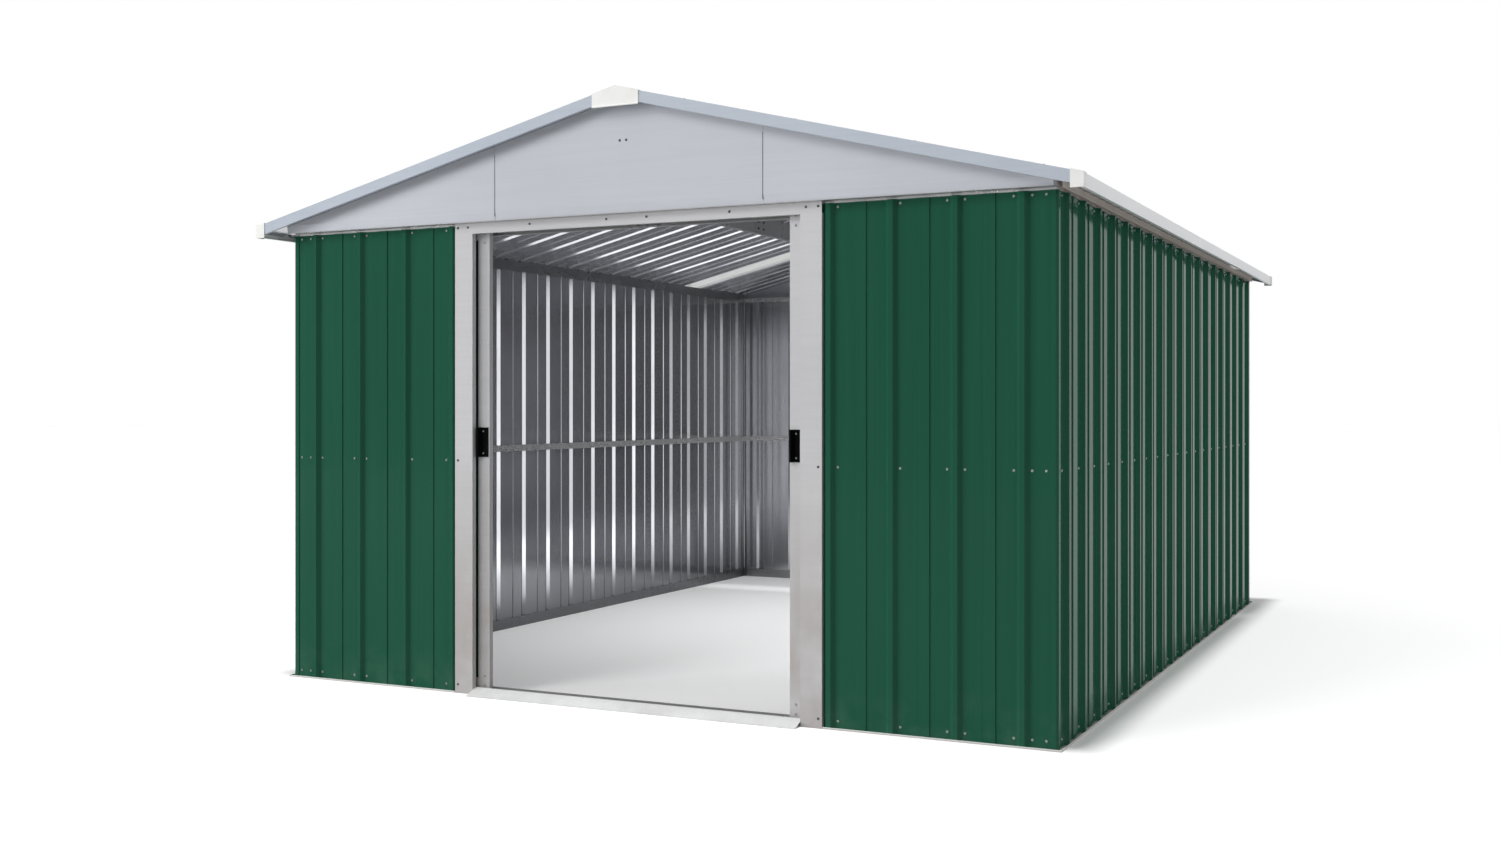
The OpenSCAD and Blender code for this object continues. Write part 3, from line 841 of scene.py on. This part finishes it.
SHEET_SCREW = Fastener(0.0033, 0.0020, 0.0042, 0.0007)
FRAME_SCREW = Fastener(0.0038, 0.0018, 0.0044, 0.0005)
ROOF_SCREW = Fastener(0.0048, 0.0045, 0.0085, 0.0018, 6)
FRAME_BOLT = Fastener(0.0052, 0.0040, 0.0064, 0.0008, 6)
SMALL_SCREW = Fastener(0.0030, 0.0010, 0.0033, 0.0003)


@dataclass
class BaseFrame:
    """Rolled base rails, the ramp and the lower track of the doors."""

    rails: Sequence[str] = ("left_base", "right_base", "back_base", "front_left_base", "front_right_base")
    ramp: Sequence[str] = ("door_ramp",)
    tracks: Sequence[str] = ("lower_door_track",)
    ramp_screws: Sequence[float] = (-0.54, -0.18, 0.18, 0.54)
    ramp_screw_y: float = -1.8885
    ramp_top: float = 0.022

    def dress(self, finishes: Finishes) -> None:
        """Finish the rails, the ramp and the track."""
        paint_nodes(self.rails, finishes.base_rail)
        paint_nodes(self.ramp, finishes.pale)
        paint_nodes(self.tracks, finishes.rail)

    def build(self, finishes: Finishes) -> None:
        """Screw the ramp down along its flat."""
        seats = [((x, self.ramp_screw_y, self.ramp_top), (0, 0, 1)) for x in self.ramp_screws]
        add_piece("ramp_screws", SMALL_SCREW.row(seats), finishes.zinc_head)


@dataclass
class Cladding:
    """Wall and corner sheets, and the screws that hold them to the rails."""

    sheets: Sequence[str] = (
        "front_left_wall", "front_right_wall", "right_wall", "back_wall", "left_wall",
        "front_left_corner", "front_right_corner", "back_right_corner", "back_left_corner",
    )
    rows: Sequence[float] = (0.025, 0.797, 1.588)
    front_out: float = 1.895
    side_out: float = 1.400
    front_places: Sequence[float] = (
        -1.368, -1.327, -1.273, -1.127, -1.073, -0.873, -0.727,
        0.727, 0.927, 1.073, 1.127, 1.273, 1.327, 1.368,
    )
    side_start: float = -1.849
    side_count: int = 19
    side_last: float = 1.860
    pitch: float = 0.2
    back_count: int = 14
    back_start: float = -1.273
    back_ends: Sequence[float] = (-1.368, 1.368)

    def places(self, side: Side) -> Sequence[float]:
        """Give the places of the screws along a wall."""
        if side is Side.FRONT:
            return self.front_places
        if side is Side.BACK:
            return [self.back_start + k * self.pitch for k in range(self.back_count)] + list(self.back_ends)
        return [self.side_start + k * self.pitch for k in range(self.side_count)] + [self.side_last]

    def dress(self, finishes: Finishes) -> None:
        """Finish the sheets."""
        paint_nodes(self.sheets, finishes.green)

    def build(self, finishes: Finishes) -> None:
        """Set rows of screws along the base, the mid rail and the top rail of each wall."""
        for side in Side:
            out = self.front_out if side in (Side.FRONT, Side.BACK) else self.side_out
            seats = [
                (side.seat(place, row, out), side.value) for row in self.rows for place in self.places(side)
            ]
            name = side.name.lower() + "_wall_screws"
            add_piece(name, SHEET_SCREW.row(seats), finishes.zinc_head)


@dataclass
class WallRails:
    """Mid and top rails inside the walls, with the bolts that join them at the corners."""

    rails: Sequence[str] = (
        "front_left_mid_rail", "front_right_mid_rail", "right_mid_rail", "back_mid_rail", "left_mid_rail",
        "front_top_rail", "back_top_rail",
    )
    eaves_rails: Sequence[str] = ("right_top_rail", "left_top_rail")
    height: float = 0.797
    side_face: float = 1.381
    back_face: float = 1.876
    bolt_in: float = 0.040

    def dress(self, finishes: Finishes) -> None:
        """Finish the rails."""
        paint_nodes(self.rails, finishes.rail)
        paint_nodes(self.eaves_rails, finishes.eaves_rail)

    def build(self, finishes: Finishes) -> None:
        """Bolt the mid rails together at the back corners."""
        seats = []
        for sign in (-1, 1):
            seats.append(((sign * self.side_face, self.back_face - self.bolt_in, self.height), (-sign, 0, 0)))
            seats.append(((sign * (self.side_face - self.bolt_in), self.back_face, self.height), (0, -1, 0)))
        add_piece("mid_rail_bolts", FRAME_BOLT.row(seats), finishes.zinc_head)


@dataclass
class Doorway:
    """Jambs, header and upper track round the opening, with the screws through their faces."""

    faces: Sequence[str] = ("left_jamb", "right_jamb", "door_header")
    tracks: Sequence[str] = ("upper_door_track",)
    face_out: float = 1.910
    header_z: float = 1.592
    header_screws: Sequence[float] = (-0.668, -0.627, -0.377, -0.080, 0.070, 0.367, 0.627, 0.668)
    jamb_x: float = 0.668
    jamb_screws: Sequence[float] = (0.030, 0.797)

    def dress(self, finishes: Finishes) -> None:
        """Finish the faces and the track."""
        paint_nodes(self.faces, finishes.doorway)
        paint_nodes(self.tracks, finishes.rail)

    def build(self, finishes: Finishes) -> None:
        """Set the screws in the header and the jambs."""
        facing = Side.FRONT.value
        seats = [(Side.FRONT.seat(x, self.header_z, self.face_out), facing) for x in self.header_screws]
        for x in (-self.jamb_x, self.jamb_x):
            seats += [(Side.FRONT.seat(x, z, self.face_out), facing) for z in self.jamb_screws]
        add_piece("doorway_screws", FRAME_SCREW.row(seats), finishes.dark_head)


@dataclass
class Gables:
    """Gable sheets, with a pair of bolts under each ridge and a dark strip in each joint that paints the
    shadow of the gap.
    """

    sheets: Sequence[str] = ("front_gable", "back_gable")
    face_out: float = 1.940
    bolt_z: float = 1.839
    bolt_x: float = 0.0118
    joint_x: float = 0.496
    shadow_w: float = 0.0024
    shadow_out: float = 0.0004
    shadow_foot: float = 1.620
    shadow_top: float = 1.826

    def dress(self, finishes: Finishes) -> None:
        """Finish the sheets."""
        paint_nodes(self.sheets, finishes.silver)

    def joint_shadows(self) -> Shape:
        """Shape the dark strips that paint the shadow in the joints, each thin with rounded edges.

        Returns:
            One shape with the four strips.
        """
        shape = bmesh.new()
        height = self.shadow_top - self.shadow_foot
        for side in (Side.FRONT, Side.BACK):
            for x in (-self.joint_x, self.joint_x):
                middle = side.seat(x, self.shadow_foot + height / 2, self.face_out)
                add_block(shape, middle, (self.shadow_w, 2 * self.shadow_out, height))
        round_edges(shape, self.shadow_out / 2, segments=2)
        return shape

    def build(self, finishes: Finishes) -> None:
        """Set the painted joint shadows and the bolts."""
        # Dark strips in the gable joints: a painted shadow of the gaps.
        add_piece("gable_joint_shadows", self.joint_shadows(), finishes.dark_head)
        seats = [
            (side.seat(x, self.bolt_z, self.face_out), side.value)
            for side in (Side.FRONT, Side.BACK) for x in (-self.bolt_x, self.bolt_x)
        ]
        add_piece("gable_bolts", FRAME_SCREW.row(seats), finishes.dark_head)


@dataclass
class Roof:
    """Purlins, roof sheets and skylights, with their bolts and screws."""

    frame_parts: Sequence[str] = ("left_purlin", "right_purlin", "purlin_splices")
    sheets: Sequence[str] = ("left_roof", "right_roof")
    skylights: Sequence[str] = ("left_skylight", "right_skylight")
    pitch: float = math.radians(14)
    ridge_z: float = 1.97781
    sheet_up: float = 0.001
    rib_start: float = -1.845
    rib_pitch: float = 0.2
    ribs: int = 20
    screw_off: float = 0.031
    screw_lines: Sequence[float] = (0.130, 0.526, 1.390)
    splice_x: float = 0.5115
    splice_y: float = 0.216
    splice_z: float = 1.8119
    bolt_step_y: float = 0.0275
    bolt_step_z: float = 0.0155

    def surface(self, x: float, y: float, up: float) -> tuple[Point, Point]:
        """Give a point on a roof slope, and the way that the slope faces.

        Args:
            x: Distance from the middle, negative on the left.
            y: Place from front to back.
            up: Height over the underside of the roof, square to the slope.

        Returns:
            The point and the direction.
        """
        sign = math.copysign(1, x)
        height = self.ridge_z - math.tan(self.pitch) * abs(x) + up / math.cos(self.pitch)
        return (x, y, height), (sign * math.sin(self.pitch), 0, math.cos(self.pitch))

    def dress(self, finishes: Finishes) -> None:
        """Finish the frame, the sheets and the skylights."""
        paint_nodes(self.frame_parts, finishes.rail)
        paint_nodes(self.sheets, finishes.roof)
        paint_nodes(self.skylights, finishes.skylight)

    def build(self, finishes: Finishes) -> None:
        """Set the roof screws beside the ribs, and the bolts of the purlin splices."""
        rib_places = [self.rib_start + k * self.rib_pitch + self.screw_off for k in range(self.ribs)]
        for sign, name in ((-1, "left_roof_screws"), (1, "right_roof_screws")):
            seats = [self.surface(sign * x, y, self.sheet_up) for x in self.screw_lines for y in rib_places]
            add_piece(name, ROOF_SCREW.row(seats), finishes.zinc_head)
        seats = [
            ((sign * self.splice_x, self.splice_y + step_y, self.splice_z + step_z), (-sign, 0, 0))
            for sign in (-1, 1)
            for step_y in (-self.bolt_step_y, self.bolt_step_y)
            for step_z in (-self.bolt_step_z, self.bolt_step_z)
        ]
        add_piece("splice_bolts", FRAME_BOLT.row(seats), finishes.dark_head)


@dataclass
class RoofEdges:
    """Ridge capping, edge trims and moulded caps."""

    roof: Roof
    trims: Sequence[str] = ("ridge_capping", "front_trims", "back_trims")
    eaves_trims: Sequence[str] = ("left_eaves_trim", "right_eaves_trim")
    caps: Sequence[str] = ("roof_caps",)
    capping_up: float = 0.016
    capping_x: float = 0.068
    trim_up: float = 0.026
    trim_y: float = 1.972
    trim_screws: Sequence[float] = (0.24, 0.62, 1.0, 1.38)
    eaves_x: float = 1.482
    eaves_pitch: float = 0.4
    eaves_count: int = 10
    lip_half: float = 0.085
    lip_y: float = 1.9923
    lip_z: float = 1.9397
    lip_h: float = 0.005
    lip_out: float = 0.003
    lip_round: float = 0.0013

    def dress(self, finishes: Finishes) -> None:
        """Finish the trims and the caps."""
        paint_nodes(self.trims, finishes.fascia)
        # The eaves trims take the lighter copy of the trim paint, which paints the light they catch.
        paint_nodes(self.eaves_trims, finishes.lit_trim)
        paint_nodes(self.caps, finishes.white)

    def build(self, finishes: Finishes) -> None:
        """Set the screws of the capping and the trims, and the rolled lips of the ridge caps."""
        roof = self.roof
        seats = []
        for sign in (-1, 1):
            for k in range(roof.ribs):
                y = roof.rib_start + k * roof.rib_pitch
                seats.append(roof.surface(sign * self.capping_x, y, self.capping_up))
            for x in self.trim_screws:
                seats += [roof.surface(sign * x, y, self.trim_up) for y in (-self.trim_y, self.trim_y)]
            for k in range(self.eaves_count):
                y = (k - (self.eaves_count - 1) / 2) * self.eaves_pitch
                seats.append(roof.surface(sign * self.eaves_x, y, self.trim_up))
        add_piece("trim_screws", SHEET_SCREW.row(seats), finishes.zinc_head)
        for sign, name in ((-1, "front_ridge_lip"), (1, "back_ridge_lip")):
            add_piece(name, self.lip(sign), finishes.white)

    def lip(self, sign: int) -> Shape:
        """Shape the rolled lip along the lower edge of a ridge cap.

        Args:
            sign: -1 for the front, 1 for the back.

        Returns:
            The shape.
        """
        shape = bmesh.new()
        middle = (0.0, sign * (self.lip_y + self.lip_out / 2), self.lip_z + self.lip_h / 2)
        add_block(shape, middle, (2 * self.lip_half, self.lip_out, self.lip_h))
        round_edges(shape, self.lip_round, segments=3)
        return shape


@dataclass
class SlidingDoor:
    """One door leaf with its handle, and the small screws on them.

    Attributes:
        body: Body of the leaf, left_door or right_door.
        sign: -1 for the left leaf, 1 for the right one.
    """

    body: str
    sign: int
    edge: float = 0.560
    width: float = 0.637
    face_out: float = 1.878
    plate_out: float = 1.881
    handle_left: float = 0.564
    handle_w: float = 0.038
    handle_screw_in: float = 0.018
    handle_screws: Sequence[float] = (0.822, 0.897)
    rivet_in: float = 0.020
    rivet_rows: Sequence[float] = (0.030, 0.060, 1.541, 1.571)

    def dress(self, finishes: Finishes) -> None:
        """Finish the frame, the panel and the handle."""
        parts = {"frame": finishes.doorway, "panel": finishes.green, "handle": finishes.black}
        for part, finish in parts.items():
            paint_nodes((f"{self.body}_{part}",), finish)

    def build(self, finishes: Finishes) -> None:
        """Set the screws of the handle, and the rivets at the corners of the frame."""
        facing = Side.FRONT.value
        left = self.handle_left if self.sign > 0 else -self.handle_left - self.handle_w
        x = left + self.handle_screw_in
        seats = [(Side.FRONT.seat(x, z, self.plate_out), facing) for z in self.handle_screws]
        name = self.body + "_handle_screws"
        add_piece(name, SMALL_SCREW.row(seats), finishes.zinc_head, body=self.body)
        ends = (self.edge + self.rivet_in, self.edge + self.width - self.rivet_in)
        seats = [
            (Side.FRONT.seat(self.sign * x, z, self.face_out), facing) for x in ends for z in self.rivet_rows
        ]
        add_piece(self.body + "_rivets", FRAME_SCREW.row(seats), finishes.zinc_head, body=self.body)


def seen_rays(tree: bpy.types.NodeTree) -> Socket:
    """Tell the rays that look at a surface from those that light it.

    Args:
        tree: Tree to add to.

    Returns:
        1 for camera, glossy and transmission rays, 0 for the others.
    """
    rays = tree.nodes.new("ShaderNodeLightPath").outputs
    seen = rays["Is Camera Ray"]
    for name in ("Is Glossy Ray", "Is Transmission Ray"):
        either = tree.nodes.new("ShaderNodeMath")
        either.operation = "MAXIMUM"
        tree.links.new(seen, either.inputs[0])
        tree.links.new(rays[name], either.inputs[1])
        seen = either.outputs[0]
    return seen


@dataclass(frozen=True)
class Panel:
    """Flat soft lamp of the studio.

    Attributes:
        name: Name of the lamp.
        at: Its middle.
        turn: Its turn about X, Y and Z in degrees; unturned it faces down.
        size: Its width and length.
        level: Its brightness; a white wall is 1.
        spread: Width of its beam in degrees.
        gleam: Whether it only shows in glossy surfaces; the others only light matt ones.
    """

    name: str
    at: Point
    turn: Point
    size: tuple[float, float]
    level: float
    spread: float = 180.0
    gleam: bool = False

    def hang(self) -> None:
        """Hang the lamp."""
        lamp = bpy.data.lights.new(self.name, "AREA")
        lamp.shape = "RECTANGLE"
        lamp.size, lamp.size_y = self.size
        lamp.energy = self.level * math.pi * lamp.size * lamp.size_y
        lamp.spread = math.radians(self.spread)
        holder = bpy.data.objects.new(self.name, lamp)
        holder.location = self.at
        holder.rotation_euler = [math.radians(angle) for angle in self.turn]
        holder.visible_camera = False
        holder.visible_glossy, holder.visible_diffuse = self.gleam, not self.gleam
        bpy.context.scene.collection.objects.link(holder)


GLEAM_SPREAD = 40.0
RIB_TURN = (0.0, 90.0, -28.4)


@dataclass
class Studio:
    """Camera, pale floor, soft lamps and white surround.

    Attributes:
        eye: Place of the camera.
        turn: Turn of the camera about Z, in radians.
        lens: Focal length in millimetres.
        sensor: Width of the film in millimetres.
        shift: Shift of the lens, as shares of the film's width.
        floor_half: Half the width of the floor.
        floor_colour: Brightness of the floor.
        floor_patch: How far its patches go from that.
        floor_bounce: Brightness of the floor for the light that it throws back.
        floor_glow: Light that the floor gives to whatever looks at it.
        floor_rough: Roughness of the floor.
        floor_gloss: Level of its surface reflection.
        surround: Brightness of the surround as a light; looked at, it is white.
        top: Strength of the overhead lamp.
        top_lean: Its turn about X, Y and Z, in radians.
        top_spread: Its width in radians.
        panels: Soft lamps, and the gleams that show in glossy surfaces.
    """

    eye: Point = (2.5323, -6.3344, 0.9813)
    turn: float = math.radians(26.522)
    lens: float = 37.745
    sensor: float = 36.0
    shift: tuple[float, float] = (0.0219, -0.0103)
    floor_half: float = 60.0
    floor_colour: float = 0.93
    floor_patch: float = 0.005
    floor_bounce: float = 0.35
    floor_glow: float = 0.07
    floor_rough: float = 0.9
    floor_gloss: float = 0.1
    surround: float = 0.4
    top: float = 1.9
    top_lean: Point = (math.radians(4), 0.0, 0.0)
    top_spread: float = math.radians(4)
    panels: Sequence[Panel] = (
        Panel("front_lamp", (-4.5, -12.0, 7.5), (60.2, 0.0, -23.2), (5.0, 5.0), 7.6),
        Panel("left_lamp", (-17.0, -12.1, 2.2), (86.0, 0.0, -59.0), (8.0, 4.0), 19.5),
        Panel("right_lamp", (10.0, -1.0, 1.5), (85.0, 0.0, 83.0), (6.0, 2.8), 3.2),
        Panel("inside_down_lamp", (0.0, 0.35, 1.62), (0.0, 0.0, 0.0), (2.4, 2.7), 1.6),
        Panel("inside_up_lamp", (0.0, 0.7, 0.03), (180.0, 0.0, 0.0), (2.4, 2.2), 0.8),
        Panel("near_rib_gleam", (0.425, -1.068, 0.88), RIB_TURN, (1.7, 1.5), 0.1, GLEAM_SPREAD, True),
        Panel("far_rib_gleam", (1.0, 0.0, 0.84), RIB_TURN, (1.6, 0.92), 0.036, GLEAM_SPREAD, True),
        Panel("near_foot_gleam", (-0.686, -0.95, 0.16), RIB_TURN, (0.3, 1.85), 0.12, GLEAM_SPREAD, True),
        Panel("far_foot_gleam", (0.228, 0.74, 0.16), RIB_TURN, (0.3, 2.0), 0.045, GLEAM_SPREAD, True),
        Panel("roof_gleam", (-0.72, -0.4, 1.08), (169.0, 14.1, 0.0), (1.3, 2.4), 0.13, GLEAM_SPREAD, True),
        Panel("swage_gleam", (-0.53, -1.63, 0.86), (90.0, 0.0, 21.3), (0.9, 1.7), 0.045, GLEAM_SPREAD, True),
    )

    def place_camera(self) -> None:
        """Stand the camera where the photograph was taken from."""
        camera = bpy.data.objects.new("camera", bpy.data.cameras.new("camera"))
        camera.location = self.eye
        camera.rotation_euler = (math.pi / 2, 0.0, self.turn)
        camera.data.sensor_width = self.sensor
        camera.data.lens = self.lens
        camera.data.shift_x, camera.data.shift_y = self.shift
        bpy.context.scene.collection.objects.link(camera)
        bpy.context.scene.camera = camera

    def lay_floor(self) -> None:
        """Lay the floor."""
        graph = FinishGraph("studio_floor")
        seen = seen_rays(graph.tree)
        patches = graph.noise(0.8, 3.0)
        low, high = self.floor_colour - self.floor_patch, self.floor_colour + self.floor_patch
        white = graph.mix(graph.even(patches), (low,) * 3, (high,) * 3)
        graph.set(
            base_color=graph.mix(seen, (self.floor_bounce,) * 3, white),
            roughness=self.floor_rough,
            specular_ior_level=self.floor_gloss,
            emission_color=(1.0, 1.0, 1.0),
            emission_strength=graph.math("MULTIPLY", seen, self.floor_glow),
        )
        shape = bmesh.new()
        bmesh.ops.create_grid(shape, x_segments=2, y_segments=2, size=self.floor_half)
        piece = stand("floor", shape, graph.material)

    def hang_lamps(self) -> None:
        """Hang the soft overhead lamp and the panels."""
        top = bpy.data.lights.new("top_lamp", "SUN")
        top.energy, top.angle = self.top, self.top_spread
        holder = bpy.data.objects.new("top_lamp", top)
        holder.rotation_euler = self.top_lean
        bpy.context.scene.collection.objects.link(holder)
        for panel in self.panels:
            panel.hang()

    def surround_white(self) -> None:
        """Surround the shed with white to look at, and with soft light at a plain level."""
        world = bpy.data.worlds.new("surround")
        world.use_nodes = True
        tree = world.node_tree
        level = tree.nodes.new("ShaderNodeMapRange")
        level.inputs["To Min"].default_value = self.surround
        tree.links.new(seen_rays(tree), level.inputs["Value"])
        tree.nodes["Background"].inputs["Color"].default_value = (1.0, 1.0, 1.0, 1.0)
        tree.links.new(level.outputs["Result"], tree.nodes["Background"].inputs["Strength"])
        bpy.context.scene.world = world

    def build(self) -> None:
        """Set up the whole studio."""
        bpy.context.scene.view_settings.view_transform = "Standard"
        self.place_camera()
        self.lay_floor()
        self.hang_lamps()
        self.surround_white()


def clear_spares() -> None:
    """Remove whatever stood in the scene beside the frame."""
    for thing in list(bpy.data.objects):
        if thing.type in ("CAMERA", "LIGHT") or (thing.type == "MESH" and "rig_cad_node" not in thing):
            bpy.data.objects.remove(thing)


def main() -> None:
    """Build and dress the shed, one sub-assembly after the other."""
    logging.basicConfig(level=logging.INFO, format="%(name)s: %(message)s")
    clear_spares()
    Studio().build()
    finishes = Finishes.make()
    roof = Roof()
    for assembly in (
        BaseFrame(), Cladding(), WallRails(), Doorway(), Gables(), roof, RoofEdges(roof),
        SlidingDoor("left_door", -1), SlidingDoor("right_door", 1),
    ):
        assembly.dress(finishes)
        assembly.build(finishes)


if __name__ == "__main__":
    main()
